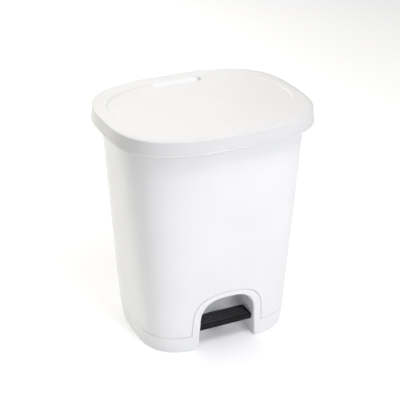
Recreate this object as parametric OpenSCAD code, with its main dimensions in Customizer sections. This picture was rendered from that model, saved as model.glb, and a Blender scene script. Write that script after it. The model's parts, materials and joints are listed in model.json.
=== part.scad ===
// Pedal trash can: a moulded tub on a base frame, with a hinged lid that a
// foot pedal lifts through a lever and a lift rod behind the tub.
// Millimetres. X runs left to right as seen from the front, Y runs to the
// rear and Z up. The origin is on the floor, under the middle of the lid.

/* [Tub] */
// Height of the tub's rim above the floor
rim_z = 440; // [436:0.5:442]
// Width of the tub under the rim
tub_top_w = 365; // [362:0.5:367]
// Depth of the tub under the rim
tub_top_d = 292; // [290:0.5:293]
// Width that the tub tapers to at the floor
tub_base_w = 298; // [292:0.5:302]
// Depth that the tub tapers to at the floor
tub_base_d = 246; // [244:0.5:250]
// How far the tub's foot sits behind the middle of the lid
tub_base_back = 9; // [8:0.5:10]
// Thickness of the tub's wall
wall_t = 2.2; // [2:0.1:2.8]
// How far the rolled rim stands out of the tub's wall
rim_out = 9; // [8:0.5:10]

/* [Base frame] */
// Height of the base frame's skirt
base_h = 34; // [33:0.5:36]
// Width of the base frame at the floor
foot_w = 300; // [298:0.5:302]
// Depth of the base frame at the floor
foot_d = 244; // [242:0.5:246]
// How far the skirt stands out of the tub's wall
skirt_out = 1.2; // [0.8:0.1:1.5]
// Width of the pedal opening where it starts to curve in
arch_w = 115; // [114:0.5:117]
// Height of the pedal opening's crown
arch_h = 110; // [108:0.5:112]
// Width of the band around the pedal opening
band_w = 15.5; // [14:0.5:17]
// Distance of the pedal pocket's back wall in front of the lid's middle
pocket_front_y = 56; // [54:0.5:57]

/* [Lid] */
// Height of the lid's top above the floor
lid_top_z = 464; // [463:0.5:465]
// Width of the lid at its lip
lid_w = 397; // [396:0.5:399]
// Depth of the lid at its lip
lid_d = 327.8; // [327:0.2:329]
// Height of the lid's lip above the floor
lid_lip_z = 434; // [433:0.5:435]
// Thickness of the lid's skin
lid_t = 2.6; // [2.4:0.1:2.8]
// Length of the finger pocket in the lid
finger_w = 102; // [96:1:106]

/* [Hinge] */
// Distance of the lid's hinge axis behind the lid's middle
hinge_y = 163; // [162.5:0.25:163.5]
// Height of the lid's hinge axis
hinge_z = 440; // [439:0.5:441]
// Diameter of the hinge pin
hinge_pin_d = 5; // [4.8:0.1:5.2]
// Angle that the lid opens
lid_open = 80; // [76:1:82]
// Length of the crank that the lift rod pushes
crank_r = 18.5; // [18:0.25:19]

/* [Pedal] */
// Width of the pedal pad
pad_w = 114; // [106:1:115]
// Depth of the pedal pad
pad_d = 40; // [37:0.5:41]
// Height of the pedal pad's top above the floor
pad_z = 48; // [47:0.5:49]
// Distance of the lever's pivot behind the lid's middle
pivot_y = 38; // [36:0.5:40]
// Height of the lever's pivot
pivot_z = 26; // [25.5:0.25:26.5]
// Length of the lever behind its pivot
lever_rear = 109; // [108.5:0.25:109.5]
// Diameter of the lever's axle
axle_d = 6; // [5.5:0.5:6]
// Diameter of the lift rod's wire
rod_d = 4; // [3.5:0.1:4]

/* [Hidden] */
$fn = 48;

white = "whitesmoke";
steel = "silver";
dark = "dimgray";

run = 0.05;            // radial clearance of a shaft in its bore
gap = 0.4;             // clearance between fixed mouldings
big = 260;             // reach of a box that cuts past the whole part
segments = 80;         // points round one outline

// Outlines: half sizes, squareness and offset of the superellipses
tub_base_n = 4;
foot_n = 3.35;
foot_back = 5;
tub_top_n = 2.95;
lid_n = 3.03;
back_y = 136;          // flat rear panel of the tub
floor_z = 49;          // inner floor of the tub
floor_t = 3;
rim_h = 5.5;           // depth of the rolled rim's lip
rim_t = 2;

// Lid
lip_h = 3.6;           // height of the lid's lip bead
lip_out = 1.1;         // how far the bead stands out
shoulder_h = 3;        // drop of the lid's shoulder
shoulder_w = 11;       // width of the lid's shoulder
edge_draft = 1.3;      // how much the edge draws in between lip and shoulder
panel_size = [348, 240];
panel_back = 8;        // how far the sunk panel sits behind the lid's middle
panel_n = 2.6;
panel_slope = 6;       // width of the slope down into the sunk panel
panel_drop = 1.2;      // depth of the lid's sunk panel
hood_w = 140;          // rear hood over the hinge
hood_y = 169.5;
hood_edge_r = 14;
hood_low_z = 447.5;
finger_d = 24;
finger_y = 119;
finger_deep = 9;
bumper_x = 80;
bumper_y = -145.5;

// Lid bracket
plate_z = 452.4;       // underside of the bracket's plate
plate_t = 3;
knuckle_r = 6.5;
knuckle_x = [34, 45.5];
crank_t = 8;
eye_play = 2.85;       // radial play of the rod in the crank's eye
eye_r = rod_d / 2 + eye_play;
eye_boss_r = eye_r + 2.6;
bracket_screws = [for (x = [-54, -20, 20, 54]) [x, 146]];

// Linkage, all from the crank's rise
half_open = lid_open / 2;
rise = 2 * crank_r * sin(half_open);
half_throw = asin(rise / 2 / lever_rear);
eye_y = hinge_y - crank_r * cos(half_open);
eye_z = hinge_z - crank_r * sin(half_open);
rod_y = pivot_y + lever_rear * cos(half_throw);
rod_foot_z = pivot_z - lever_rear * sin(half_throw);
rod_x = 9;             // the rod's upright is beside the lever
rod_bend = 5;
rod_end_x = -8;

// Hinge housing
cheek_x = [46, 56];
housing_z = [396, 430];
housing_y = 168.4;
housing_t = 2.4;
housing_w = 112;
housing_ear = 16;
housing_screws = [for (x = [-64, 64], z = [405, 422]) [x, z]];

// Channel cover
cover_y = 156;
cover_z = [4, 392];
cover_w = 48;
cover_t = 2.2;
cover_ear = 14;
cover_screws = [for (x = [-31, 31], z = [20, 200, 380]) [x, z]];
guide_z = [130, 290];

// Base frame
arch_spring_z = 55;
arch_n = 2.7;
arch_slope = 0.076;
band_crown = 11;
pocket_y = -pocket_front_y;
pocket_t = 2.4;
slot_w = 30;
slot_z = 42;
rear_slot_z = 45;
rib_x = [22, 26];
rib_y = [-40, 30, 104];
base_screw_at = [for (s = [-1, 1], p = [[112, rib_y[0]], [118, rib_y[1]], [84, rib_y[2]]]) [s * p[0], p[1]]];
foot_at = [for (s = [-1, 1], p = [[114, -87], [113, 98]]) [s * p[0], p[1]]];
foot_r = 8;
foot_h = 5;
skirt_foot_z = 0.8;    // the feet hold the skirt this far off the floor

// Pedal
pad_back_y = -68;
pad_t = 4;
pad_lip_z = 37.5;
carrier_t = 3.5;
ridge_n = 5;
ridge_step = 6.8;
ridge_h = 1.2;
hub_r = 9;
hub_w = 40;
rear_eye_r = 6;

// Shared shapes

function mix(p, q, t) = p + (q - p) * t;
function curl(v, e) = sign(v) * pow(abs(v), e);

// One ring of a loft: [half width, half depth, squareness, y offset, z]
function ring_points(r) = [for (i = [0 : segments - 1])
    let (t = 360 * (i + 0.5) / segments)
    [r[0] * curl(cos(t), 2 / r[2]), r[3] + r[1] * curl(sin(t), 2 / r[2]), r[4]]];

module loft(rings) {
    last = len(rings) - 1;
    sides = [for (k = [0 : last - 1], i = [0 : segments - 1])
        let (j = (i + 1) % segments, low = k * segments, high = low + segments)
        each [[low + i, high + i, high + j], [low + i, high + j, low + j]]];
    bottom = [for (i = [0 : segments - 1]) i];
    top = [for (i = [segments - 1 : -1 : 0]) last * segments + i];
    polyhedron([for (r = rings) each ring_points(r)], concat([bottom], sides, [top]));
}

function tub_ring(z, grow) = let (t = z / rim_z) [
    mix(tub_base_w, tub_top_w, t) / 2 + grow,
    mix(tub_base_d, tub_top_d, t) / 2 + grow,
    mix(tub_base_n, tub_top_n, t),
    mix(tub_base_back, 0, t), z];
function foot_ring(z, grow) = let (t = z / base_h, top = tub_ring(base_h, 0)) [
    mix(foot_w / 2, top[0], t) + grow,
    mix(foot_d / 2, top[1], t) + grow,
    mix(foot_n, top[2], t),
    mix(foot_back, top[3], t), z];
function rim_ring(z, grow) = [tub_top_w / 2 + grow, tub_top_d / 2 + grow, tub_top_n, 0, z];
function lid_ring(z, inset) = [lid_w / 2 - inset, lid_d / 2 - inset, lid_n, 0, z];

module tub_solid(z0, z1, grow) loft([tub_ring(z0, grow), tub_ring(z1, grow)]);

// Base frame's outline: rounder than the tub's at the floor, then the tub's own
module base_solid(z0, z1, grow) loft(z1 > base_h
    ? [foot_ring(z0, grow), tub_ring(base_h, grow), tub_ring(z1, grow)]
    : [foot_ring(z0, grow), foot_ring(z1, grow)]);

module block(x, y, z) translate([x[0], y[0], z[0]])
    cube([x[1] - x[0], y[1] - y[0], z[1] - z[0]]);

module mirrored() {
    children();
    mirror([1, 0, 0]) children();
}

// Shapes drawn in the Y-Z plane and given a thickness along X
module along_x(x0, x1) translate([x0, 0, 0]) rotate([90, 0, 90])
    linear_extrude(x1 - x0) children();

// Shapes drawn in the X-Z plane and given a thickness along Y
module along_y(y0, y1) translate([0, y1, 0]) rotate([90, 0, 0])
    linear_extrude(y1 - y0) children();

module round_x(x0, x1, y, z, r) translate([x0, y, z]) rotate([0, 90, 0])
    cylinder(h = x1 - x0, r = r);

module round_y(y0, y1, x, z, r) translate([x, y0, z]) rotate([-90, 0, 0])
    cylinder(h = y1 - y0, r = r);

module round_z(z0, z1, at, r) translate([at[0], at[1], z0])
    cylinder(h = z1 - z0, r = r);

// Flat link: two round ends and the straight sides that touch them
module link(p, rp, q, rq) {
    d = q - p;
    turn = atan2(d[1], d[0]);
    lean = acos((rp - rq) / norm(d));
    translate(p) circle(r = rp);
    translate(q) circle(r = rq);
    polygon([
        p + rp * [cos(turn + lean), sin(turn + lean)],
        p + rp * [cos(turn - lean), sin(turn - lean)],
        q + rq * [cos(turn - lean), sin(turn - lean)],
        q + rq * [cos(turn + lean), sin(turn + lean)]]);
}

// Bore outline: straight sloping sides under half a superellipse
module arch(half_w, crown, foot_z = -1) {
    top = [for (i = [0 : 28]) let (t = 180 * i / 28)
        [half_w * curl(cos(t), 2 / arch_n), arch_spring_z + crown * curl(sin(t), 2 / arch_n)]];
    foot = half_w + arch_slope * (arch_spring_z - foot_z);
    polygon(concat(top, [[-foot, foot_z], [foot, foot_z]]));
}

module opening_arch(grow = 0)
    arch(arch_w / 2 + grow, arch_h - arch_spring_z + grow);

module band_arch(grow = 0)
    arch(arch_w / 2 + band_w + grow, arch_h - arch_spring_z + band_crown + grow);

// Self-tapping screw, head down, with its head's bearing face at z = 0
module screw(r, length, head_r, head_h) {
    translate([0, 0, -head_h]) cylinder(h = head_h, r = head_r);
    cylinder(h = length, r = r);
}

// Round bar ring for clips and push nuts, lying round the X axis
module clip_x(x0, x1, y, z, r_out, r_in) difference() {
    round_x(x0, x1, y, z, r_out);
    round_x(x0 - 1, x1 + 1, y, z, r_in);
}

// Tub

module rim_roll() difference() {
    loft([rim_ring(rim_z - rim_h, rim_out), rim_ring(rim_z, rim_out)]);
    loft([rim_ring(rim_z - rim_h - 1, rim_out - rim_t), rim_ring(rim_z - rim_t, rim_out - rim_t)]);
}

module body_shell() color(white) difference() {
    union() {
        difference() {
            union() {
                tub_solid(base_h, rim_z, 0);
                rim_roll();
            }
            block([-120, 120], [back_y, big], [base_h - 1, rim_z + 1]);
            difference() {
                tub_solid(floor_z, rim_z + 1, -wall_t);
                block([-big, big], [back_y - wall_t, big], [0, rim_z + 2]);
                along_y(-big, pocket_y + wall_t) band_arch(gap + wall_t);
            }
            difference() {
                tub_solid(base_h - 1, floor_z - floor_t, -wall_t);
                along_y(-big, pocket_y + wall_t) band_arch(gap + wall_t);
            }
        }
        for (p = base_screw_at) round_z(base_h, floor_z - 1, p, 5);
        for (p = housing_screws) round_y(back_y - 10, back_y - 1, p[0], p[1], 4.5);
    }
    along_y(-big, pocket_y) band_arch(gap);
    block([-slot_w / 2 - 1, slot_w / 2 + 1], [pocket_y - 1, pocket_y + 5], [0, slot_z - 0.5]);
    block([-13, 13], [100, big], [0, rear_slot_z]);
    for (p = base_screw_at) round_z(base_h - 1, base_h + 11, p, 1.75);
    for (p = housing_screws) round_y(back_y - 8, back_y + 1, p[0], p[1], 1.55);
    for (p = cover_screws) if (p[1] > base_h) round_y(back_y - 5, back_y + 1, p[0], p[1], 1.55);
}

// Base frame

module skirt() difference() {
    base_solid(skirt_foot_z, base_h, skirt_out);
    base_solid(skirt_foot_z - 1, base_h - 3, skirt_out - 3);
    loft([tub_ring(base_h - 4, -10), tub_ring(base_h + 1, -10)]);
}

module arch_band() intersection() {
    difference() {
        base_solid(skirt_foot_z, 126, skirt_out);
        base_solid(skirt_foot_z - 1, 127, skirt_out - 3.2);
    }
    along_y(-big, pocket_y - 10) band_arch();
}

module pedal_tunnel() intersection() {
    base_solid(skirt_foot_z, 126, skirt_out - 1);
    difference() {
        along_y(-140, pocket_y - gap) opening_arch(pocket_t);
        along_y(-141, pocket_y - gap - pocket_t) opening_arch();
    }
}

module base_ribs() intersection() {
    base_solid(3, base_h - 1, skirt_out - 1);
    union() {
        mirrored() block(rib_x, [pocket_y - pocket_t, 140], [3, base_h - 1]);
        mirrored() for (y = rib_y) block([rib_x[0], 170], [y - 1.2, y + 1.2], [6, base_h - 2]);
    }
}

module base_frame() color(white) difference() {
    union() {
        skirt();
        arch_band();
        pedal_tunnel();
        base_ribs();
        mirrored() round_x(rib_x[0], rib_x[1], pivot_y, pivot_z, 9);
        for (p = base_screw_at) round_z(skirt_foot_z + 1, base_h, p, 7);
        mirrored() block([24, 38], [126, back_y], [6, base_h - 1]);
        intersection() {
            base_solid(skirt_foot_z, 12, skirt_out - 1);
            for (p = foot_at) round_z(skirt_foot_z, 11, p, foot_r + 3);
        }
    }
    along_y(-big, pocket_y - gap - pocket_t) opening_arch();
    block([-slot_w / 2, slot_w / 2], [pocket_y - 6, pocket_y + 1], [-1, slot_z]);
    block([-13, 13], [100, big], [-1, base_h + 1]);
    round_x(-30, 30, pivot_y, pivot_z, axle_d / 2 + run);
    for (p = base_screw_at) {
        round_z(-1, 22, p, 4.8);
        round_z(21, base_h + 1, p, 2.1);
    }
    for (p = cover_screws) if (p[1] < base_h) round_y(back_y - 9, back_y + 1, p[0], p[1], 1.55);
    for (p = foot_at) round_z(-1, foot_h, p, foot_r);
}

module base_screws() color(steel) for (p = base_screw_at)
    translate([p[0], p[1], 22]) screw(1.7, 21, 4.2, 2.6);

module non_slip_feet() color(dark) for (p = foot_at)
    round_z(0, foot_h - 0.1, p, foot_r - 0.1);

// Lid

module lid_outside() loft([
    lid_ring(lid_lip_z, 0),
    lid_ring(lid_lip_z + lip_h, 0),
    lid_ring(lid_lip_z + lip_h + 0.8, lip_out),
    lid_ring(lid_top_z - shoulder_h, lip_out + edge_draft),
    lid_ring(lid_top_z, lip_out + edge_draft + shoulder_w)]);

module lid_inside() loft([
    lid_ring(lid_lip_z - 1, lid_t),
    lid_ring(lid_top_z - shoulder_h - lid_t + 0.5, lid_t + lip_out + 0.4),
    lid_ring(lid_top_z - lid_t, lid_t + edge_draft + shoulder_w)]);

function panel_ring(z, inset) =
    [panel_size[0] / 2 - inset, panel_size[1] / 2 - inset, panel_n, panel_back, z];

module panel_recess() loft([
    panel_ring(lid_top_z - panel_drop, panel_slope),
    panel_ring(lid_top_z + 0.01, 0)]);

// Rear hood: the lid's top carried back over the hinge, its edge rounded
module hood_side(r_edge, rear, top, low) {
    polygon([[130, low], [rear, low], [rear, top - r_edge], [rear - r_edge, top], [130, top]]);
    translate([rear - r_edge, top - r_edge]) circle(r = r_edge);
}

module finger_pill(grow, z0, z1) translate([0, finger_y, z0]) linear_extrude(z1 - z0) {
    for (s = [-1, 1]) translate([s * (finger_w - finger_d) / 2, 0]) circle(r = finger_d / 2 + grow);
    square([finger_w - finger_d, finger_d + 2 * grow], center = true);
}

module lid_shell() color(white) difference() {
    union() {
        difference() {
            union() {
                lid_outside();
                along_x(-hood_w / 2, hood_w / 2)
                    hood_side(hood_edge_r, hood_y, lid_top_z, hood_low_z);
            }
            lid_inside();
            along_x(-hood_w / 2 + lid_t, hood_w / 2 - lid_t)
                hood_side(hood_edge_r - lid_t, hood_y - lid_t, lid_top_z - lid_t, hood_low_z - 20);
            block([-hood_w / 2, hood_w / 2], [148, big], [lid_lip_z - 1, hood_low_z]);
        }
        finger_pill(2.4, lid_top_z - finger_deep - 2.4, lid_top_z - 1);
        for (p = bracket_screws) round_z(plate_z + plate_t, lid_top_z - 1, p, 4);
        mirrored() round_z(rim_z + 3, lid_top_z - 2, [bumper_x, bumper_y], 3.5);
    }
    panel_recess();
    finger_pill(0, lid_top_z - finger_deep, lid_top_z + 1);
    for (p = bracket_screws) round_z(plate_z, plate_z + plate_t + 5.4, p, 1.75);
}

module knuckle_profile(q) {
    link([hinge_y, hinge_z], knuckle_r, [148, plate_z - 1], 4);
    translate([140, plate_z - 1]) square([18, 2]);
}

module lid_hinge_bracket() color(white) difference() {
    union() {
        block([-60, 60], [138, 158], [plate_z, plate_z + plate_t]);
        mirrored() along_x(knuckle_x[0], knuckle_x[1]) knuckle_profile();
        along_x(-crank_t / 2, crank_t / 2) {
            knuckle_profile();
            link([hinge_y, hinge_z], knuckle_r, [eye_y, eye_z], eye_boss_r);
        }
    }
    round_x(-70, 70, hinge_y, hinge_z, hinge_pin_d / 2 + run);
    round_x(-crank_t, crank_t, eye_y, eye_z, eye_r);
    for (p = bracket_screws) round_z(plate_z - 1, plate_z + plate_t + 1, p, 2);
}

module lid_bracket_screws() color(steel) for (p = bracket_screws)
    translate([p[0], p[1], plate_z]) screw(1.7, 8, 3.4, 2);

module lid_bumpers() color(dark) mirrored()
    round_z(rim_z + 0.3, rim_z + 3, [bumper_x, bumper_y], 3.5);

// Hinge

module cheek_profile() {
    link([hinge_y, hinge_z], knuckle_r, [158, housing_z[1] - 4], 8);
    polygon([[back_y, housing_z[1] - 24], [back_y, housing_z[1] - 2],
        [152, housing_z[1] + 1], [164, housing_z[1] - 2], [164, housing_z[1] - 24]]);
}

module hinge_housing() color(white) difference() {
    union() {
        block([-housing_w / 2, housing_w / 2], [back_y, housing_y], housing_z);
        mirrored() along_x(cheek_x[0], cheek_x[1]) cheek_profile();
        mirrored() block([50, housing_w / 2 + housing_ear], [back_y, back_y + 4], housing_z);
    }
    block([-cheek_x[0], cheek_x[0]], [back_y + housing_t, housing_y - housing_t],
        [housing_z[0] - 1, housing_z[1] + 1]);
    block([-20, 20], [back_y - 1, back_y + housing_t + 1], [housing_z[0] - 1, housing_z[1] + 1]);
    round_x(-70, 70, hinge_y, hinge_z, hinge_pin_d / 2 + run);
    for (p = housing_screws) round_y(back_y - 1, back_y + 5, p[0], p[1], 1.9);
}

// Screws that go forward into the tub's rear wall
module rear_screw(at, y) translate([at[0], y, at[1]]) rotate([90, 0, 0]) screw(1.5, 10, 3.2, 2);

module hinge_housing_screws() color(steel) for (p = housing_screws)
    rear_screw(p, back_y + 4);

module hinge_pin() color(steel) round_x(-60, 60, hinge_y, hinge_z, hinge_pin_d / 2);

module hinge_pin_clips() color(steel) mirrored()
    clip_x(cheek_x[1] + 0.2, cheek_x[1] + 2.2, hinge_y, hinge_z, 5, hinge_pin_d / 2);

// Lift rod: one wire with its two ends bent to the left

module rod_elbow(z, side) translate([-rod_bend, 0, z]) rotate([90, 0, 0])
    intersection() {
        rotate_extrude() translate([rod_bend, 0]) circle(r = rod_d / 2);
        block([0, 2 * rod_bend], side > 0 ? [0, 2 * rod_bend] : [-2 * rod_bend, 0], [-rod_d, rod_d]);
    }

module lift_rod() color(steel) translate([rod_x, rod_y, rod_foot_z]) {
    length = eye_z - rod_foot_z;
    round_z(rod_bend, length - rod_bend, [0, 0], rod_d / 2);
    rod_elbow(length - rod_bend, 1);
    rod_elbow(rod_bend, -1);
    for (z = [0, length]) round_x(rod_end_x - rod_x, -rod_bend, 0, z, rod_d / 2);
}

module rod_end_clips() color(steel) for (z = [rod_foot_z, eye_z])
    clip_x(rod_end_x + 1, rod_end_x + 2.6, rod_y, z, 4.6, rod_d / 2);

module rod_guides() color(dark) for (z = guide_z) difference() {
    block([2, 16], [back_y, rod_y + 6], [z, z + 8]);
    round_z(z - 1, z + 9, [rod_x, rod_y + 0.3], rod_d / 2 + 1);
}

module channel_cover() color(white) difference() {
    union() {
        block([-cover_w / 2, cover_w / 2], [back_y, cover_y], cover_z);
        block([-cover_w / 2 - cover_ear, cover_w / 2 + cover_ear], [back_y, back_y + 2.4], cover_z);
    }
    block([-cover_w / 2 + cover_t, cover_w / 2 - cover_t], [back_y - 1, cover_y - cover_t],
        [cover_z[0] - 1, cover_z[1] + 1]);
    for (p = cover_screws) round_y(back_y - 1, back_y + 4, p[0], p[1], 1.9);
}

module channel_cover_screws() color(steel) for (p = cover_screws)
    translate([p[0], back_y + 2.4, p[1]]) rotate([90, 0, 0]) screw(1.5, 6.5, 3.2, 2);

// Pedal

module pedal_lever() color(dark) difference() {
    union() {
        along_x(-12, 12) link([pivot_y, pivot_z], hub_r - 1, [pad_back_y - 12, pad_z - pad_t - 7], 5);
        along_x(-4, 4) link([pivot_y, pivot_z], hub_r - 2, [rod_y, rod_foot_z], rear_eye_r);
        round_x(-hub_w / 2, hub_w / 2, pivot_y, pivot_z, hub_r);
        block([-48, 48], [pad_back_y - pad_d + 4.5, pad_back_y - 4.5],
            [pad_z - pad_t - carrier_t, pad_z - pad_t]);
    }
    round_x(-30, 30, pivot_y, pivot_z, axle_d / 2 + run);
    round_x(-9, 9, rod_y, rod_foot_z, rod_d / 2 + run);
    mirrored() round_z(30, 50, [34, pad_back_y - pad_d / 2], 1.9);
}

module pedal_pad() color(dark) difference() {
    union() {
        block([-pad_w / 2, pad_w / 2], [pad_back_y - pad_d, pad_back_y], [pad_lip_z, pad_z]);
        for (i = [0 : ridge_n - 1]) block([-pad_w / 2 + 5, pad_w / 2 - 5],
            [pad_back_y - 7.6 - i * ridge_step, pad_back_y - 5.2 - i * ridge_step], [pad_z - 1, pad_z + ridge_h]);
    }
    block([-pad_w / 2 + 3, pad_w / 2 - 3], [pad_back_y - pad_d + 3, pad_back_y - 3],
        [pad_lip_z - 1, pad_z - pad_t]);
    block([-13, 13], [pad_back_y - 4, pad_back_y + 1], [pad_lip_z - 1, pad_z - pad_t + 0.5]);
    mirrored() round_z(30, pad_z - 1, [34, pad_back_y - pad_d / 2], 1.55);
}

module pedal_pad_screws() color(steel) mirrored()
    translate([34, pad_back_y - pad_d / 2, pad_z - pad_t - carrier_t]) screw(1.5, 6, 3.2, 2);

module pivot_axle() color(steel) round_x(-30, 30, pivot_y, pivot_z, axle_d / 2);

module axle_push_nuts() color(steel) mirrored()
    clip_x(rib_x[1] + 0.2, rib_x[1] + 2, pivot_y, pivot_z, 6, axle_d / 2);

body_shell();
base_frame();
base_screws();
non_slip_feet();
lid_shell();
lid_hinge_bracket();
lid_bracket_screws();
lid_bumpers();
hinge_housing();
hinge_housing_screws();
hinge_pin();
hinge_pin_clips();
lift_rod();
rod_end_clips();
rod_guides();
channel_cover();
channel_cover_screws();
pedal_lever();
pedal_pad();
pedal_pad_screws();
pivot_axle();
axle_push_nuts();
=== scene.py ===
"""Looks of the pedal trash can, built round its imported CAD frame.

The four mouldings that show from outside (tub, base frame, lid and pedal pad)
are rebuilt as smooth closed meshes over the CAD's driving sizes. The mechanism
keeps its CAD meshes and gets better materials. All sizes are in millimetres up
to Shell.build, and each z is a height over the floor.
"""
import json
import math

import bmesh
import bpy
import numpy as np
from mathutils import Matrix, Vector


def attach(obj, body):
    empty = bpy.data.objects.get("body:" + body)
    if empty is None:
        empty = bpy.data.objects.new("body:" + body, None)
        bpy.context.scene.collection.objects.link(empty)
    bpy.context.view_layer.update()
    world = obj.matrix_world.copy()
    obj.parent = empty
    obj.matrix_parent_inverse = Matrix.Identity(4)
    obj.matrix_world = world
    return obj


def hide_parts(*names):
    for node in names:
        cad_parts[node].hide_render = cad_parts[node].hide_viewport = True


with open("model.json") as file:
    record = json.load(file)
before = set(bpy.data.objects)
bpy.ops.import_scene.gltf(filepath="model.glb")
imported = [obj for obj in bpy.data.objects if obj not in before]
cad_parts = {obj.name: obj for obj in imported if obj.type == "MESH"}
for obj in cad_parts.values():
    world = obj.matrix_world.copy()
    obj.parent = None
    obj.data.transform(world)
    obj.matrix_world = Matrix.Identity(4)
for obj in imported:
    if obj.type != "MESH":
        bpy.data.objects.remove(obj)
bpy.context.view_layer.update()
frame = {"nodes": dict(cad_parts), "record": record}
scene = bpy.context.scene
MM = 0.001

# Outlines are superellipses: half width, half depth, squareness, y offset
TUB_RIM = (182.5, 146, 2.95, 0)      # at RIM_Z
TUB_FLOOR = (149, 123, 4, 9)         # what the tub tapers to at z = 0
FOOT = (150, 122, 3.35, 5)           # the base frame at z = 0
LID = (198.5, 163.9, 3.03, 0)
PANEL = (175.5, 120.5, 2.6, 8)       # the lid's sunk panel

# Tub and base frame
RIM_Z = 440
FLOOR_Z = 49                         # the tub's inner floor
BASE_H = 34
WALL = 2.2                           # the tub's wall
BACK_Y = 136                         # the tub's flat rear panel
FLANGE_LEFT = 0.12                   # the share of the rim's flange left over the rear panel
SKIRT_OUT = 0.3                      # how far the base frame stands out, less than in the CAD
SEAM = 0.7                           # the gap round the arch's band, wider than in the CAD

# The arch over the pedal: a superellipse over the spring line, on sloping legs
ARCH_HALF_W = 57.5
ARCH_H = 110
ARCH_N = 2.7
ARCH_SLOPE = 0.076
SPRING_Z = 55
BAND_W = 15.5
BAND_CROWN = 11
BAND_HALF_W = ARCH_HALF_W + BAND_W
OPENING = (ARCH_HALF_W, ARCH_H - SPRING_Z)              # half width, and crown over the spring line
BAND = (BAND_HALF_W, ARCH_H - SPRING_Z + BAND_CROWN)
POCKET_Y = -56                       # the back of the tub's hollow over the pedal
SLOT_TOP = 41                        # the lever's slot in the pocket's back wall

# Lid
LID_LIP_Z = 434
LID_TOP_Z = 464
LID_SKIN = 2.6
LIP_H = 3.6                          # the bead along the lip
LIP_OUT = 1.1
LIP_LOW_R = 1.2
LIP_TOP_R = 0.9
LID_DRAFT = 1.3                      # how far the wall draws in from the lip to the shoulder
SHOULDER_IN = LIP_OUT + LID_DRAFT    # how far in the shoulder starts
SHOULDER_W = 11
SHOULDER_H = 3.4
PANEL_DROP = 1.3
PANEL_STEP = 4.6                     # width of the slope down into the panel
PANEL_CROWN = 0.9                    # how far the panel's middle rises again
PANEL_REACH = 0.68                   # how far in the panel's rows run, before one face closes them
HOOD_HALF_W = 70
HOOD_Y = 169.5
HOOD_LOW_Z = 447.5
HOOD_R = 14
FINGER_Y = 119
FINGER_HALF = (51, 12)
FINGER_DEEP = 10.5

# Screw places
BRACKET_SCREWS = [(x, 146) for x in (-54, -20, 20, 54)]            # (x, y) under the lid
BUMPERS = [(x, -145.5) for x in (-80, 80)]
HOUSING_SCREWS = [(x, z) for x in (-64, 64) for z in (405, 422)]   # (x, z) on the rear panel
COVER_SCREWS = [(x, z) for x in (-31, 31) for z in (200, 380)]

# Pedal
PAD_HALF_W = 57
PAD_Y = (-108, -68)
PAD_Z = (37.5, 48)
RIBS = 5
RIB_STEP = 6.8
PIVOT_YZ = (38, 26)

# Faces across the front, round each side to the rear's middle, and over the arch
FRONT_COUNT = 44
SIDE_COUNT = 96
TOP_COUNT = 56


# ---------------------------------------------------------------- outlines

def mix(p, q, t):
    return p + (q - p) * t


def curl(v, e):
    return np.sign(v) * np.abs(v) ** e


def quarter(steps):
    """Angles of a quarter turn."""
    return np.linspace(0, math.pi / 2, steps + 1)


def mirrored(points):
    return points * [-1, 1, 1]


def tub_shape(z):
    t = np.asarray(z, float) / RIM_Z
    return [mix(low, high, t) for low, high in zip(TUB_FLOOR, TUB_RIM)]


def base_shape(z):
    """The base frame's outline: rounder than the tub's at the floor, then the tub's own."""
    z = np.asarray(z, float)
    t = np.clip(z / BASE_H, 0, 1)
    return [mix(foot, tub, t) for foot, tub in zip(FOOT, tub_shape(np.maximum(z, BASE_H)))]


def fixed_shape(shape):
    return lambda z: [np.full(np.shape(z), v, float) for v in shape]


def soft_limit(y, limit, soft=3.0):
    """y held under limit, with a round corner where they cross."""
    h = np.clip(0.5 + 0.5 * (limit - y) / soft, 0, 1)
    return limit * (1 - h) + y * h - soft * h * (1 - h)


def no_panel(y, grow):
    return y


def rear_panel(y, grow):
    """The tub's flat rear panel: the rim's flange dies out against it."""
    grow = np.asarray(grow)
    return soft_limit(y, BACK_Y + np.where(grow < 0, grow, FLANGE_LEFT * grow))


def front_points(shape_at, x, z, grow, rear=no_panel):
    """Points of the front wall over places (x, z)."""
    a, b, n, y0 = shape_at(z)
    inside = np.clip(1 - np.abs(x / (a + grow)) ** n, 0, 1)
    y = y0 - (b + grow) * inside ** (1 / n)
    return np.stack([x + 0 * y, rear(y, grow), z + 0 * y], -1)


def side_points(shape_at, z, grow, x_start, rear=no_panel):
    """Points at one height, from x_start on the front round the right side to the rear's middle."""
    a, b, n, y0 = (float(v) for v in shape_at(z))
    first = math.asin(min(1, (x_start / (a + grow)) ** (n / 2)))
    t = np.linspace(first, math.pi, 1600)
    x = (a + grow) * curl(np.sin(t), 2 / n)
    y = rear(y0 - (b + grow) * curl(np.cos(t), 2 / n), grow)
    x[-1] = 0
    way = np.concatenate([[0], np.cumsum(np.hypot(np.diff(x), np.diff(y)))])
    at = np.linspace(0, way[-1], SIDE_COUNT + 1)
    level = np.full(SIDE_COUNT + 1, float(z))
    return np.stack([np.interp(at, way, x), np.interp(at, way, y), level], -1)


def ring(shape_at, z, grow, x_start, rear=no_panel):
    """A closed ring of points at one height: the front from left to right, then round the back."""
    x = np.linspace(-x_start, x_start, FRONT_COUNT + 1)
    front = front_points(shape_at, x, np.full(x.shape, float(z)), grow, rear)
    right = side_points(shape_at, z, grow, x_start, rear)
    left = mirrored(right)[::-1]
    return np.concatenate([front, right[1:], left[1:-1]])


# ---------------------------------------------------------------- meshes

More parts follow.
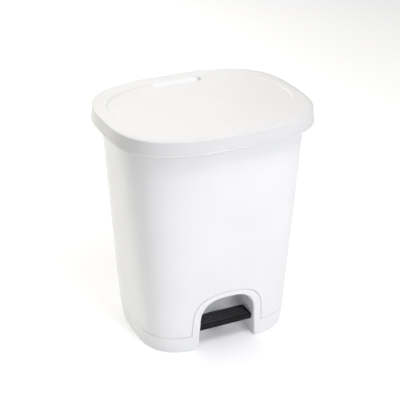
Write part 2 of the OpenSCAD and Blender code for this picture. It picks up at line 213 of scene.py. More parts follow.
class Shell:
    """A closed mesh put together from grids of points that share their edges."""

    def __init__(self):
        self.points = []
        self.faces = []

    def grid(self, points, closed=False):
        """points[row, column]; closed joins the last column to the first."""
        points = np.asarray(points, float)
        rows, columns = points.shape[:2]
        start = len(self.points)
        self.points.extend(points.reshape(-1, 3))
        for r in range(rows - 1):
            here, above = start + r * columns, start + (r + 1) * columns
            for c in range(columns if closed else columns - 1):
                d = (c + 1) % columns
                self.faces.append([here + c, here + d, above + d, above + c])

    def face(self, points):
        start = len(self.points)
        self.points.extend(np.asarray(points, float))
        self.faces.append(list(range(start, len(self.points))))

    def build(self, name):
        mesh = bpy.data.meshes.new(name)
        mesh.from_pydata((np.array(self.points) * MM).tolist(), [], self.faces)
        bm = bmesh.new()
        bm.from_mesh(mesh)
        bmesh.ops.remove_doubles(bm, verts=bm.verts, dist=0.01 * MM)
        bmesh.ops.dissolve_degenerate(bm, edges=bm.edges, dist=0.005 * MM)
        bmesh.ops.recalc_face_normals(bm, faces=bm.faces)
        bm.to_mesh(mesh)
        bm.free()
        piece = bpy.data.objects.new(name, mesh)
        scene.collection.objects.link(piece)
        return piece


def closed_rings(name, rows):
    """A solid of closed rings with a flat face at each end."""
    s = Shell()
    s.grid(rows, closed=True)
    s.face(rows[0])
    s.face(rows[-1])
    return s.build(name)


def box_piece(name, x, y, z):
    return closed_rings(name, [np.array([[x[0], y[0], h], [x[1], y[0], h],
                                         [x[1], y[1], h], [x[0], y[1], h]]) for h in z])


def turned(name, profile, place=(0, 0), steps=40):
    """A solid turned round an upright axis at place; profile is (radius, z) from bottom to top."""
    t = np.linspace(0, 2 * math.pi, steps, endpoint=False)
    return closed_rings(name, [
        np.stack([place[0] + r * np.cos(t), place[1] + r * np.sin(t), np.full(steps, float(z))], -1)
        for r, z in profile])


def lay(solid, direction, place):
    """Lays an upright solid along this direction, with its foot at place."""
    turn = Vector((0, 0, 1)).rotation_difference(Vector(direction)).to_matrix().to_4x4()
    turn.translation = Vector(place) * MM
    solid.data.transform(turn)
    return solid


def combine(piece, others, operation):
    """Joins other solids into a piece, or cuts them out of it."""
    for other in others:
        step = piece.modifiers.new(operation, "BOOLEAN")
        step.operation = operation
        step.solver = "EXACT"
        step.object = other
    view = bpy.context.evaluated_depsgraph_get()
    view.update()
    mesh = bpy.data.meshes.new_from_object(piece.evaluated_get(view))
    piece.modifiers.clear()
    piece.data = mesh
    for other in others:
        bpy.data.objects.remove(other)
    return piece


def smooth(piece):
    """Soft shading with the flats kept flat and the sharp edges kept sharp."""
    piece.data.shade_smooth()
    piece.data.set_sharp_from_angle(angle=math.radians(32))
    flats = piece.modifiers.new("flats", "WEIGHTED_NORMAL")
    flats.keep_sharp = True
    flats.weight = 60


def rounded_rim(edge, far_edge, tip):
    """Rows that carry one skin's edge over to the other's; tip is how far the round stands out."""
    middle = (edge + far_edge) / 2
    half = (edge - far_edge) / 2
    return np.array([middle + half * math.cos(a) + tip * math.sin(a)
                     for a in np.linspace(0, math.pi, 9)])


# ---------------------------------------------------------------- lid

LID_FRONT_X = 90


def lid_inset(inset):
    return tuple(v - inset if i < 2 else v for i, v in enumerate(LID))


def lid_row(inset, z):
    return ring(fixed_shape(lid_inset(inset)), z, 0, LID_FRONT_X)


def panel_row(inset, z, land=0.0):
    """From the sunk panel's outline at land = 0 out to the shoulder's at land = 1."""
    outer = lid_inset(SHOULDER_IN + SHOULDER_W)
    shape = [mix(p - (inset if i < 2 else 0), q, land)
             for i, (p, q) in enumerate(zip(PANEL, outer))]
    return ring(fixed_shape(shape), z, 0, LID_FRONT_X * (1 - inset / PANEL[0]))


def lid_inner_rows():
    """The lid's inside, from the middle of its ceiling down to the lip."""
    ceiling = LID_TOP_Z - LID_SKIN
    wall_in, ceiling_in = LID_SKIN + SHOULDER_IN, LID_SKIN + LID_DRAFT + SHOULDER_W
    rows = [panel_row(PANEL[0] * share * PANEL_REACH, ceiling)
            for share in (0.97, 0.8, 0.6, 0.4, 0.2, 0)]
    rows.append(lid_row(ceiling_in, ceiling))
    for a in quarter(5):
        rows.append(lid_row(mix(wall_in, ceiling_in, 1 - math.sin(a)),
                            ceiling - SHOULDER_H + SHOULDER_H * math.cos(a)))
    wall_low, wall_high = 438, 461
    for z in (455, 448, 441):
        draft = LID_DRAFT * (z - wall_low) / (wall_high - wall_low)
        rows.append(lid_row(LID_SKIN + LIP_OUT + draft, z))
    return rows


def lid_outer_rows():
    """Round the lip bead, up the wall, over the shoulder, and in over the sunk panel."""
    low_z = LID_LIP_Z + LIP_LOW_R
    rows = [lid_row(LID_SKIN, low_z)]
    for a in quarter(4)[1:]:
        rows.append(lid_row(LID_SKIN - LIP_LOW_R + LIP_LOW_R * math.cos(a),
                            low_z - LIP_LOW_R * math.sin(a)))
    for a in quarter(5):
        rows.append(lid_row(LIP_LOW_R - LIP_LOW_R * math.sin(a), low_z - LIP_LOW_R * math.cos(a)))

    bead_top = LID_LIP_Z + LIP_H
    for a in quarter(4):
        rows.append(lid_row(LIP_TOP_R - LIP_TOP_R * math.cos(a),
                            bead_top - LIP_TOP_R + LIP_TOP_R * math.sin(a)))
    for a in quarter(3)[1:]:
        rows.append(lid_row(LIP_OUT - 0.45 + 0.4 * math.sin(a),
                            bead_top + 0.5 - 0.5 * math.cos(a)))

    wall_top = LID_TOP_Z - SHOULDER_H
    for z in np.linspace(bead_top + 2, wall_top, 8):
        rows.append(lid_row(LIP_OUT + LID_DRAFT * (z - bead_top) / (wall_top - bead_top), z))
    for a in quarter(10)[1:]:
        rows.append(lid_row(SHOULDER_IN + SHOULDER_W * (1 - math.cos(a)) ** 0.9,
                            wall_top + SHOULDER_H * math.sin(a) ** 0.8))
    for land in (0.75, 0.5, 0.25, 0.08):
        rows.append(panel_row(0, LID_TOP_Z, land))

    half, drop = PANEL_STEP / 2, PANEL_DROP / 2
    for a in quarter(4):
        rows.append(panel_row(half * math.sin(a), LID_TOP_Z - drop * (1 - math.cos(a))))
    for a in quarter(4)[1:]:
        rows.append(panel_row(half * (2 - math.cos(a)), LID_TOP_Z - drop * (1 + math.sin(a))))
    for share in np.linspace(0.04, 0.97, 22):
        crown = PANEL_CROWN * math.sin(share * math.pi / 2) ** 2
        rows.append(panel_row(PANEL_STEP + (PANEL[0] - PANEL_STEP) * share * PANEL_REACH,
                              LID_TOP_Z - PANEL_DROP + crown))
    return rows


def hood_block(name, inset, low, y_start):
    """The hood's block: a large round over the hinge, and a small round along both ends."""
    small, sunk = 1.8, 0.03
    half, top = HOOD_HALF_W - inset, LID_TOP_Z - sunk - inset
    rear, r = HOOD_Y - inset, HOOD_R - inset
    ends = [(half - small * (1 - math.sin(a)), small * (1 - math.cos(a))) for a in quarter(4)]
    rows = []
    for x, less in [(-x, less) for x, less in reversed(ends)] + ends:
        section = [[x, y_start, low], [x, rear - less, low]]
        for a in quarter(10):
            section.append([x, rear - r + (r - less) * math.cos(a),
                            top - r + (r - less) * math.sin(a)])
        rows.append(np.array(section + [[x, y_start, top - less]]))
    return closed_rings(name, rows)


def finger_pill(grow, z, lean=0.0):
    """The finger pocket's outline with round ends; lean draws its rear side forward."""
    r = FINGER_HALF[1] + grow
    reach = FINGER_HALF[0] - FINGER_HALF[1]
    points = []
    for side in (1, -1):
        for a in np.linspace(-math.pi / 2, math.pi / 2, 25):
            points.append([side * (reach + r * math.cos(a)), FINGER_Y + side * r * math.sin(a), z])
        for x in np.linspace(side * reach, -side * reach, 24)[1:-1]:
            points.append([x, FINGER_Y + side * r, z])
    points = np.array(points)
    points[:, 1] -= lean * np.clip((points[:, 1] - FINGER_Y) / r, 0, 1)
    return points


def pill_foot(low, grow, fillet, steps, lean=0.0):
    """Rows of a finger pill's round bottom edge, up to where it is grown by this much."""
    return [finger_pill(grow - fillet * (1 - math.sin(a)), low + fillet * (1 - math.cos(a)), lean)
            for a in quarter(steps)]


def finger_cut():
    """The pocket's hollow: a round bottom edge, drafted walls and a round lip."""
    lip = 1.5
    rows = pill_foot(LID_TOP_Z - FINGER_DEEP, -0.6, 3, 6, lean=9)
    for a in np.linspace(0, 1.25, 6):
        rows.append(finger_pill(lip * (1 - math.cos(a)), LID_TOP_Z - lip + lip * math.sin(a)))
    rows.append(finger_pill(lip * 0.75, LID_TOP_Z + 2))
    return closed_rings("finger_cut", rows)


def finger_cup():
    """The boss under the lid that the finger pocket is sunk into."""
    rows = pill_foot(LID_TOP_Z - FINGER_DEEP - 2.4, 2.1, 3.5, 5)
    rows.append(finger_pill(2.4, LID_TOP_Z - 1.5))
    return closed_rings("finger_cup", rows)


def in_finger_pocket(face):
    """Whether a lid face lies in the finger pocket; its right end is left out as painted shade."""
    x, y, z = face.center / MM
    in_outline = abs(x + 3) < FINGER_HALF[0] - 3 and abs(y - FINGER_Y) < FINGER_HALF[1] + 1
    in_depth = LID_TOP_Z - FINGER_DEEP - 0.1 < z < LID_TOP_Z - 0.3
    panel = face.normal.z > 0.93 and z > LID_TOP_Z - 2
    return in_outline and in_depth and not panel


def build_lid():
    """The lid; the finger pocket takes its second finish, a lighter white that is painted light."""
    inner = lid_inner_rows()
    lid = closed_rings("lid", inner + lid_outer_rows())
    hollow = closed_rings("hollow", [inner[-1] - [0, 0, 12]] + inner[::-1])
    hood = hood_block("hood", 0, HOOD_LOW_Z, 140)
    combine(hood, [hollow, hood_block("inner_hood", LID_SKIN, HOOD_LOW_Z - 20, 138)], "DIFFERENCE")
    behind = box_piece("behind", (-HOOD_HALF_W, HOOD_HALF_W), (148, 175),
                       (LID_LIP_Z - 1, HOOD_LOW_Z))
    combine(lid, [hood_block("inner_hood", LID_SKIN, HOOD_LOW_Z - 20, 145), behind], "DIFFERENCE")
    posts = [turned("post", [(4, 455.4), (4.3, LID_TOP_Z - 1)], place) for place in BRACKET_SCREWS]
    posts += [turned("post", [(3.5, RIM_Z + 3), (3.8, LID_TOP_Z - 1.5)], place)
              for place in BUMPERS]
    combine(lid, [hood, finger_cup()] + posts, "UNION")
    bores = [turned("bore", [(1.75, 455), (1.75, 460.8)], place, 20) for place in BRACKET_SCREWS]
    combine(lid, [finger_cut()] + bores, "DIFFERENCE")
    for face in lid.data.polygons:
        face.material_index = int(in_finger_pocket(face))
    return lid


# ---------------------------------------------------------------- arch and shells

def leg_x(half_w, z):
    """How far the arch's sloping leg stands from the middle at height z."""
    return half_w + ARCH_SLOPE * (SPRING_Z - z)


def resample(line, count):
    """count equal steps along a line of (x, z) points."""
    way = np.concatenate([[0], np.cumsum(np.hypot(*np.diff(line, axis=0).T))])
    at = np.linspace(0, way[-1], count + 1)
    return np.stack([np.interp(at, way, line[:, 0]), np.interp(at, way, line[:, 1])], -1)


def arch_top(arch, grow, z_from):
    """The arch from its left leg at z_from over to its right leg."""
    half_w, crown = arch[0] + grow, arch[1] + grow
    z = np.linspace(z_from, SPRING_Z, 30)
    left = np.stack([-leg_x(half_w, z), z], -1)
    t = np.linspace(math.pi, 0, 400)
    top = np.stack([half_w * curl(np.cos(t), 2 / ARCH_N),
                    SPRING_Z + crown * curl(np.clip(np.sin(t), 0, 1), 2 / ARCH_N)], -1)
    return np.concatenate([left, top[1:-1], left[::-1] * [-1, 1]])


def arch_line(arch, grow, levels):
    """The arch as points: up the left leg at these levels, over the top, down the right leg."""
    left = np.stack([-leg_x(arch[0] + grow, levels), levels], -1)
    top = resample(arch_top(arch, grow, levels[-1]), TOP_COUNT)
    return np.concatenate([left[:-1], top, left[-2::-1] * [-1, 1]])


class Sheet:
    """One skin of a moulding: the wall round the sides, the patch round the arch, and the pocket.

    throat is what pocket_throat gives, and border the patch's outer edge, with as many points.
    """

    def __init__(self, shape_at, grow, rear, side, border, throat):
        self.side = np.array(side)
        inner, rows = throat
        steps = np.linspace(0, 1, 7)[None, :, None]
        places = inner[:, None, :] * (1 - steps) + border[:, None, :] * steps
        self.patch = front_points(shape_at, places[..., 0], places[..., 1], grow, rear)
        self.throat = np.stack([self.patch[:, 0]] + rows, 1)
        last = self.throat[:, -1]
        half = len(last) // 2
        across = np.linspace(0, 1, 17)[None, :, None]
        self.back = last[:half + 1, None] * (1 - across) + last[::-1][:half + 1, None] * across

    def add_to(self, shell):
        for grid in (self.side, mirrored(self.side), self.patch, self.throat, self.back):
            shell.grid(grid)

    def feet(self):
        """The edges that stand on the floor or on the piece below."""
        return [self.side[0], mirrored(self.side[0]), self.patch[0], self.patch[-1],
                self.throat[0], self.throat[-1], self.back[0]]


def pocket_throat(shape_at, grow, rear, line_at, edge, edge_r, back_y, corner_r):
    """The arch's line on the wall, and the rows that turn in and run back to the pocket's wall.

    line_at(out) is the arch's line this far outside its nominal outline.
    """
    rows = []
    for a in quarter(5)[1:]:
        line = line_at(edge + edge_r * (1 - math.sin(a)))
        row = front_points(shape_at, line[:, 0], line[:, 1], grow, rear)
        row[:, 1] += edge_r * (1 - math.cos(a))
        rows.append(row)
    first = rows[-1]
    for share in np.linspace(0, 1, 7)[1:]:
        row = first.copy()
        row[:, 1] = mix(first[:, 1], back_y - corner_r, share)
        rows.append(row)
    for a in quarter(5)[1:]:
        line = line_at(edge - corner_r * (1 - math.cos(a)))
        y = np.full(len(line), back_y - corner_r + corner_r * math.sin(a))
        rows.append(np.stack([line[:, 0], y, line[:, 1]], -1))
    return line_at(edge + edge_r), rows


def close_feet(shell, outer, inner, drop):
    for edge, far_edge in zip(outer.feet(), inner.feet()):
        shell.grid(rounded_rim(edge, far_edge, np.array([0, 0, -drop])))


# ---------------------------------------------------------------- tub

PATCH_X = 100
PATCH_TOP = 130
LEG_COUNT = 16


def tub_ring(shape_at, z, grow):
    return ring(shape_at, z, grow, PATCH_X, rear_panel)


def tub_sheet(grow, levels, edge, edge_r, back_y, corner_r):
    side = [side_points(tub_shape, z, grow, PATCH_X, rear_panel) for z in levels]
    left = np.stack([np.full(LEG_COUNT + 1, -float(PATCH_X)), levels], -1)
    x = np.linspace(-PATCH_X, PATCH_X, FRONT_COUNT + 1)[1:-1]
    top = np.stack([x, np.full(x.shape, levels[-1])], -1)
    border = np.concatenate([left, top, left[::-1] * [-1, 1]])

    def band_line(out):
        return resample(arch_top(BAND, out, levels[0]), len(border) - 1)

    throat = pocket_throat(tub_shape, grow, rear_panel, band_line, edge, edge_r, back_y, corner_r)
    return Sheet(tub_shape, grow, rear_panel, side, border, throat)


def tub_rim_rows():
    """Rows from the wall's outside, round the rolled rim, down to the wall's inside."""
    flange, lip_z, skin, edge, inner_edge = 9, RIM_Z - 5.5, 2, 1.4, 0.8
    wall_z = np.linspace(PATCH_TOP, RIM_Z - 4, 36)
    rows = [tub_ring(tub_shape, z, 0) for z in wall_z]

    def row(z, grow):
        rows.append(tub_ring(fixed_shape(TUB_RIM), z, grow))

    under = RIM_Z - skin
    for a in quarter(3):
        row(under - 1 + math.sin(a), 1 - math.cos(a))
    row(under, flange - skin)
    for a in np.linspace(0, math.pi, 7):
        row(lip_z + skin / 2 * (1 - math.sin(a)), flange - skin / 2 - skin / 2 * math.cos(a))
    for a in quarter(5):
        row(RIM_Z - edge + edge * math.sin(a), flange - edge + edge * math.cos(a))
    for a in quarter(4):
        row(RIM_Z - inner_edge + inner_edge * math.cos(a),
            inner_edge - WALL - inner_edge * math.sin(a))
    return rows + [tub_ring(tub_shape, z, -WALL) for z in wall_z[::-1]]


def tub_floor():
    """The floor slab, which ends inside the walls and goes round the pocket."""
    outline = tub_ring(tub_shape, FLOOR_Z - 1.5, -WALL / 2)[FRONT_COUNT:]
    front_y, back_y = outline[0][1], POCKET_Y + WALL / 2
    side_x = leg_x(BAND_HALF_W + SEAM + WALL / 2, FLOOR_Z)
    notch = [[-PATCH_X, front_y, 0], [-side_x, front_y, 0], [-side_x, back_y, 0],
             [side_x, back_y, 0], [side_x, front_y, 0]]
    loop = np.concatenate([outline, notch])
    return closed_rings("tub_floor", [np.column_stack([loop[:, :2], np.full(len(loop), z)])
                                      for z in (FLOOR_Z - 3, FLOOR_Z)])


def build_tub():
    foot_drop, corner_r = 1.0, 3
    levels = np.linspace(BASE_H + 0.4 + foot_drop, PATCH_TOP, LEG_COUNT + 1)
    outer = tub_sheet(0, levels, SEAM, 0.6, POCKET_Y, corner_r)
    inner = tub_sheet(-WALL, levels, SEAM + WALL, 0, POCKET_Y + WALL, corner_r + WALL)
    s = Shell()
    outer.add_to(s)
    inner.add_to(s)
    close_feet(s, outer, inner, foot_drop)
    s.grid(tub_rim_rows(), closed=True)
    tub = s.build("tub")
    combine(tub, [tub_floor()], "UNION")
    slot = box_piece("slot", (-16, 16), (POCKET_Y - 1.5, POCKET_Y + 6),
                     (BASE_H - 4, SLOT_TOP - 0.2))
    notch = box_piece("notch", (-13, 13), (110, 145), (BASE_H - 4, 45))
    combine(tub, [slot, notch], "DIFFERENCE")
    bosses = [lay(turned("boss", [(r, 0), (r, 8.4)], steps=24), (0, 1, 0), (x, 127.2, z))
              for r, places in ((4.5, HOUSING_SCREWS), (3.6, COVER_SCREWS)) for x, z in places]
    return combine(tub, bosses, "UNION")


# ---------------------------------------------------------------- base frame

LEG_ROWS = 8
SKIRT_TIP = 0.7                      # height of the round edge along the skirt's top


def base_sheet(grow, levels, edge, edge_r, back_y, corner_r):
    starts = leg_x(BAND_HALF_W - SKIRT_TIP, levels)
    side = [side_points(base_shape, z, grow, x) for z, x in zip(levels, starts)]
    border = arch_line(BAND, -SKIRT_TIP, levels)

    def opening_line(out):
        return arch_line(OPENING, out, levels)

    throat = pocket_throat(base_shape, grow, no_panel, opening_line, edge, edge_r, back_y, corner_r)
    return Sheet(base_shape, grow, no_panel, side, border, throat)


def close_base_top(shell, outer, inner, levels):
    """The round edge along the skirt's top and the band's outside."""
    mean = SKIRT_OUT - 1.5

    def on_mean(places):
        return front_points(base_shape, places[:, 0], places[:, 1], mean)

    over = slice(LEG_ROWS, LEG_ROWS + TOP_COUNT + 1)
    border = arch_line(BAND, 0, np.append(levels[:-1], BASE_H))[over]
    low_border = arch_line(BAND, -SKIRT_TIP, levels)[over]
    shell.grid(rounded_rim(outer.patch[over, -1], inner.patch[over, -1],
                           on_mean(border) - on_mean(low_border)))
    high = side_points(base_shape, BASE_H, mean, leg_x(BAND_HALF_W, BASE_H))
    low = side_points(base_shape, levels[-1], mean, leg_x(BAND_HALF_W - SKIRT_TIP, levels[-1]))
    rim = rounded_rim(outer.side[-1], inner.side[-1], high - low)
    shell.grid(rim)
    shell.grid(mirrored(rim))


def base_ledge():
    """The ledge inside the skirt's top that the tub stands on."""
    rows = []
    for grow, z in ((-0.6, 30), (-0.6, 33.4), (-10, 33.4), (-10, 30)):
        right = side_points(base_shape, z, grow, 66)
        rows.append(np.concatenate([right, mirrored(right)[::-1][1:]]))
    s = Shell()
    s.grid(rows + rows[:1])
    s.face([r[0] for r in rows])
    s.face([r[-1] for r in rows])
    return s.build("ledge")


def base_ribs():
    """Ribs, screw posts, axle bosses and foot sockets, as one solid."""
    rib_x, rib_y, rear_y = (22, 26), (-40, 30, 104), 133
    posts = [(112, rib_y[0]), (118, rib_y[1]), (84, rib_y[2])]
    feet = [(114, -87), (113, 98)]
    solids, bores = [], []
    for side in (-1, 1):
        def across(low, high):
            return tuple(sorted((side * low, side * high)))
        solids.append(box_piece("rib", across(*rib_x), (POCKET_Y - 1.6, rear_y), (3, 33)))
        solids.append(box_piece("block", across(24, 38), (126, rear_y), (6, 33)))
        for y in rib_y:
            a, b, n, y0 = (float(v) for v in base_shape(18))
            reach = a * (1 - abs((y - y0) / b) ** n) ** (1 / n) - 0.4
            solids.append(box_piece("rib", across(rib_x[0] + 0.5, reach),
                                    (y - 1.2, y + 1.2), (6, 32)))
        outward, foot = (side, 0, 0), (side * (rib_x[0] + 0.05), *PIVOT_YZ)
        boss = turned("boss", [(9, 0), (9, 3.9)])
        bore = turned("bore", [(3.05, -8), (3.05, 8)])
        solids.append(lay(boss, outward, foot))
        bores.append(lay(bore, outward, foot))
        for x, y in posts:
            place = (side * x, y)
            solids.append(turned("post", [(7, 1.9), (7, 33.7)], place))
            bores.append(turned("bore", [(4.8, -1), (4.8, 22), (2.1, 22), (2.1, 36)], place, 24))
        for x, y in feet:
            place = (side * x, y)
            solids.append(turned("socket", [(11, 1.1), (11, 11)], place))
            bores.append(turned("bore", [(8, -1), (8, 5)], place))
    ribs = combine(solids[0], solids[1:], "UNION")
    return combine(ribs, bores, "DIFFERENCE")


def build_base():
    foot_drop, skin, lining, corner_r = 0.8, 3, 2.4, 5
    levels = np.linspace(0.8 + foot_drop, BASE_H - SKIRT_TIP, LEG_ROWS + 1)
    back_y = POCKET_Y - SEAM
    outer = base_sheet(SKIRT_OUT, levels, -0.8, 3.8, back_y - lining, corner_r)
    inner = base_sheet(SKIRT_OUT - skin, levels, lining, 0, back_y, corner_r + lining)
    s = Shell()
    outer.add_to(s)
    inner.add_to(s)
    close_feet(s, outer, inner, foot_drop)
    close_base_top(s, outer, inner, levels)
    base = s.build("base")
    combine(base, [base_ledge(), base_ribs()], "UNION")
    slot = box_piece("slot", (-15, 15), (back_y - 6, back_y + 3), (-1, SLOT_TOP))
    notch = box_piece("notch", (-13, 13), (100, 150), (-1, BASE_H + 1))
    return combine(base, [slot, notch], "DIFFERENCE")


# ---------------------------------------------------------------- pedal pad

PAD_MIDDLE_Y = sum(PAD_Y) / 2
PAD_HALF_Y = (PAD_Y[1] - PAD_Y[0]) / 2


def rounded_plan(half_x, half_y, r, z):
    """A rounded rectangle round the pad's middle, as a ring of points."""
    points = []
    for k, (sx, sy) in enumerate(((1, 1), (-1, 1), (-1, -1), (1, -1))):
        for a in np.linspace(k * math.pi / 2, (k + 1) * math.pi / 2, 9):
            points.append([sx * (half_x - r) + r * math.cos(a),
                           PAD_MIDDLE_Y + sy * (half_y - r) + r * math.sin(a), z])
    return np.array(points)


def pad_row(inset, r, z):
    return rounded_plan(PAD_HALF_W - inset, PAD_HALF_Y - inset, r, z)


def ridge(y):
    """One rib along the pad, with sloping sides and ends and its foot sunk in the pad's top."""
    half_length, end = PAD_HALF_W - 4.5, 1.5
    foot, crest, height = 2.2, 1.0, 1.4
    rows = []
    for x, z in ((-half_length, 0.05), (end - half_length, height),
                 (half_length - end, height), (half_length, 0.05)):
        section = [(-foot, -0.6), (-crest, z), (crest, z), (foot, -0.6)]
        rows.append(np.array([[x, y + across, PAD_Z[1] + up] for across, up in section]))
    return closed_rings("ridge", rows)


def build_pad():
    """The pad's rows run from its hollow's ceiling down, round the lip, up and over the top."""
    low, top = PAD_Z
    corner, edge, skin, tip = 3.2, 1.8, 2.6, 0.7
    rows = [rounded_plan(2, 2, 1.5, top - 4), pad_row(skin + 1, 1.5, top - 4)]
    rows += [pad_row(skin, corner - skin, z) for z in (top - 5, low + tip)]
    for a in np.linspace(0, math.pi, 7):
        inset = skin / 2 + skin / 2 * math.cos(a)
        rows.append(pad_row(inset, corner - inset, low + tip - tip * math.sin(a)))
    for a in quarter(7):
        inset = edge * (1 - math.cos(a))
        rows.append(pad_row(inset, corner - inset * 0.6, top - edge + edge * math.sin(a)))
    rows += [pad_row(inset, 1.5, top) for inset in (7, 12, 17)]
    pad = closed_rings("pad", rows)
    combine(pad, [ridge(PAD_Y[1] - 6.4 - RIB_STEP * i) for i in range(RIBS)], "UNION")
    cut = box_piece("cut", (-13, 13), (PAD_Y[1] - 4, PAD_Y[1] + 1), (low - 1, top - 3.5))
    return combine(pad, [cut], "DIFFERENCE")


# ---------------------------------------------------------------- materials

def add(tree, kind, **inputs):
    node = tree.nodes.new(kind)
    for key, value in inputs.items():
        node.inputs[key.replace("_", " ")].default_value = value
    return node


def noise(tree, scale, detail=2.0, roughness=0.5):
    """Noise over the piece's own space, in metres: scale is the number of features in a metre."""
    place = tree.nodes.new("ShaderNodeTexCoord")
    texture = add(tree, "ShaderNodeTexNoise", Scale=scale, Detail=detail, Roughness=roughness)
    tree.links.new(place.outputs["Object"], texture.inputs["Vector"])
    return texture.outputs["Fac"]


def spread(tree, value, low, high):
    """Takes a noise's middle range to low..high."""
    node = add(tree, "ShaderNodeMapRange", From_Min=0.3, From_Max=0.7, To_Min=low, To_Max=high)
    tree.links.new(value, node.inputs["Value"])
    return node.outputs["Result"]


def colour_mix(tree, factor, end):
    """A mix by this output towards the colour end; the caller sets or links its start, A."""
    node = tree.nodes.new("ShaderNodeMix")
    node.data_type = "RGBA"
    node.inputs["B"].default_value = (*end, 1)
    tree.links.new(factor, node.inputs["Factor"])
    return node


def bumps(tree, layers):
    """Bump from several noises; each layer is (height output, depth in metres)."""
    normal = None
    for height, depth in layers:
        node = add(tree, "ShaderNodeBump", Strength=1.0, Distance=depth)
        tree.links.new(height, node.inputs["Height"])
        if normal:
            tree.links.new(normal, node.inputs["Normal"])
        normal = node.outputs["Normal"]
    return normal


def new_material(name, dark, light, patch, gloss, gloss_patch, grain, constants):
    """A moulded or plated finish: colour and gloss drift over the surface, and a grain on it."""
    material = bpy.data.materials.new(name)
    material.use_nodes = True
    tree = material.node_tree
    shader = tree.nodes["Principled BSDF"]
    colour = colour_mix(tree, spread(tree, noise(tree, patch), 0, 1), light)
    colour.inputs["A"].default_value = (*dark, 1)
    tree.links.new(colour.outputs["Result"], shader.inputs["Base Color"])
    roughness = spread(tree, noise(tree, gloss_patch, 3), *gloss)
    tree.links.new(roughness, shader.inputs["Roughness"])
    layers = [(noise(tree, *texture), depth) for texture, depth in grain]
    tree.links.new(bumps(tree, layers), shader.inputs["Normal"])
    for key, value in constants.items():
        shader.inputs[key].default_value = value
    return material


def paint_crest_highlights(material, start, end, highlight_colour):
    """Makes a material paler over this range of heights: a painted highlight on the ribs' crests.
    """
    tree = material.node_tree
    shader = tree.nodes["Principled BSDF"]
    unlit_colour = shader.inputs["Base Color"].links[0].from_socket
    place = tree.nodes.new("ShaderNodeTexCoord")
    axes = tree.nodes.new("ShaderNodeSeparateXYZ")
    share = add(tree, "ShaderNodeMapRange", From_Min=start, From_Max=end)
    crest_highlight = colour_mix(tree, share.outputs["Result"], highlight_colour)
    tree.links.new(place.outputs["Object"], axes.inputs["Vector"])
    tree.links.new(axes.outputs["Z"], share.inputs["Value"])
    tree.links.new(unlit_colour, crest_highlight.inputs["A"])
    tree.links.new(crest_highlight.outputs["Result"], shader.inputs["Base Color"])


# Glossy polypropylene: long faint waves under a very fine grain
MOULDED = (9, (0.30, 0.38), 24, [((38, 2), 0.00004), ((1400, 1), 0.000006)], {"IOR": 1.5})

# Two ends of the colour, its patches in a metre, the roughness's range and its patches in a metre,
# the grain as (what noise takes, depth in metres), and the shader's constants
FINISHES = {
    "white_plastic": ((0.865, 0.865, 0.862), (0.885, 0.886, 0.886), *MOULDED),
    # A darker copy of the same white for the whole lid: painted shade
    "shaded_lid_white": ((0.742, 0.738, 0.730), (0.762, 0.759, 0.753), *MOULDED),
    # A lighter copy of the lid's white for the finger pocket: painted light
    "lit_pocket_white": ((0.842, 0.840, 0.835), (0.856, 0.855, 0.851), *MOULDED),
    "white_nylon": ((0.78, 0.77, 0.73), (0.82, 0.81, 0.78), 60, (0.42, 0.55), 90,
                    [((700, 2), 0.00002)], {"IOR": 1.53}),
    "black_plastic": ((0.010, 0.010, 0.011), (0.018, 0.018, 0.020), 40, (0.38, 0.50), 80,
                      [((900, 2), 0.00003)], {"IOR": 1.5, "Specular IOR Level": 0.35}),
    "black_tread": ((0.005, 0.005, 0.0055), (0.010, 0.010, 0.011), 70, (0.30, 0.40), 110,
                    [((1100, 3, 0.6), 0.00003)], {"IOR": 1.5, "Specular IOR Level": 0.14}),
    "zinc_steel": ((0.56, 0.57, 0.58), (0.70, 0.70, 0.69), 160, (0.22, 0.38), 240,
                   [((900, 2), 0.00001)], {"Metallic": 1.0}),
    "grey_rubber": ((0.13, 0.13, 0.135), (0.18, 0.18, 0.185), 90, (0.72, 0.85), 120,
                    [((1500, 2), 0.00004)], {"IOR": 1.5}),
}
materials = {name: new_material(name, *finish) for name, finish in FINISHES.items()}
# Painted highlight: the tread's rib crests are made paler than the rest of the pad
paint_crest_highlights(materials["black_tread"], (PAD_Z[1] + 0.6) * MM, (PAD_Z[1] + 1.3) * MM,
           (0.05, 0.051, 0.053))
for part in frame["record"]["subparts"]:
    for cad_slot in frame["nodes"][part["node"]].material_slots:
        cad_slot.material = materials[part["material_slot"]]


# ---------------------------------------------------------------- the four mouldings

for build, body, node, slot_name, finishes in (
        (build_lid, "lid", "lid_shell", "white_plastic", ("shaded_lid_white", "lit_pocket_white")),
        (build_tub, "bin", "body_shell", "white_plastic", ("white_plastic",)),
        (build_base, "bin", "base_frame", "white_plastic", ("white_plastic",)),
        (build_pad, "pedal", "pedal_pad", "black_tread", ("black_tread",))):
    piece = build()
    for finish in finishes:
        piece.data.materials.append(materials[finish])
    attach(piece, body)
    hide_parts(node)
    smooth(piece)


# ---------------------------------------------------------------- camera and light

# Azimuth 0 is in front and 90 to the right; distances are in metres from the can's middle height
SOFTBOXES = {                # azimuth, elevation, distance, size, watts, colour
    "ceiling": (180, 74, 5.0, (9.0, 9.0), 165, (1.0, 0.985, 0.985)),
    "overhead": (0, 88, 2.4, (2.0, 2.0), 11, (1.0, 0.985, 0.95)),
    "front": (12, 26, 2.8, (1.0, 1.4), 29, (0.90, 0.92, 1.0)),
    "front_top": (25, 55, 2.8, (1.2, 0.8), 12, (1.0, 0.97, 0.88)),
    "top": (0, 62, 2.6, (1.6, 0.8), 16, (0.92, 0.93, 1.0)),
    "left_rear": (-148, 22, 2.6, (0.8, 1.6), 25, (1.0, 0.98, 0.86)),
    "rear": (175, 25, 3.0, (2.5, 1.6), 14, (1.0, 0.99, 0.97)),
    "rear_left": (-160, 30, 3.0, (1.6, 1.6), 5.5, (1.0, 1.0, 1.0)),
}
FLOOR_GLOW = 0.155           # keeps the floor near white round the can


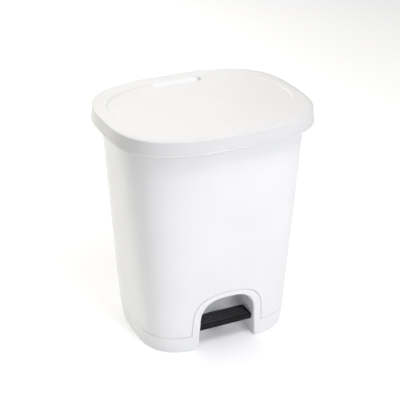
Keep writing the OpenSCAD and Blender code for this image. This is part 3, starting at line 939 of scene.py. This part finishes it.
def place_aimed(name, data, aim_z, azimuth, elevation, distance):
    """Puts a camera or a light on a direction from the can's axis at aim_z, facing that point."""
    a, e = math.radians(azimuth), math.radians(elevation)
    back = Vector((math.sin(a) * math.cos(e), -math.cos(a) * math.cos(e), math.sin(e)))
    thing = bpy.data.objects.new(name, data)
    thing.location = Vector((0, 0, aim_z)) + distance * back
    thing.rotation_euler = (-back).to_track_quat("-Z", "Y").to_euler()
    scene.collection.objects.link(thing)
    return thing


def build_camera():
    lens = bpy.data.cameras.new("camera")
    lens.lens = 98.4
    lens.sensor_width = 36
    lens.shift_x = -0.0055
    lens.shift_y = 0.0327
    scene.camera = place_aimed("camera", lens, 0.232, -24.78, 27.34, 2.1316)


def build_floor():
    mesh = bpy.data.meshes.new("floor")
    bm = bmesh.new()
    bmesh.ops.create_grid(bm, x_segments=2, y_segments=2, size=12)
    bm.to_mesh(mesh)
    bm.free()
    floor = bpy.data.objects.new("floor", mesh)
    scene.collection.objects.link(floor)
    material = bpy.data.materials.new("floor")
    material.use_nodes = True
    shader = material.node_tree.nodes["Principled BSDF"]
    shader.inputs["Base Color"].default_value = (0.95, 0.95, 0.955, 1)
    shader.inputs["Roughness"].default_value = 0.9
    shader.inputs["Specular IOR Level"].default_value = 0.1
    shader.inputs["Emission Color"].default_value = (1, 1, 1, 1)
    shader.inputs["Emission Strength"].default_value = FLOOR_GLOW
    mesh.materials.append(material)


def build_light():
    world = bpy.data.worlds.new("studio")
    world.use_nodes = True
    sky = world.node_tree.nodes["Background"]
    sky.inputs["Color"].default_value = (1, 1, 1, 1)
    sky.inputs["Strength"].default_value = 0.02
    scene.world = world
    scene.view_settings.view_transform = "Standard"
    for name, (azimuth, elevation, distance, size, watts, colour) in SOFTBOXES.items():
        data = bpy.data.lights.new(name, "AREA")
        data.shape = "RECTANGLE"
        data.size, data.size_y = size
        data.energy = watts
        data.color = colour
        place_aimed(name, data, 0.24, azimuth, elevation, distance)


build_camera()
build_floor()
build_light()
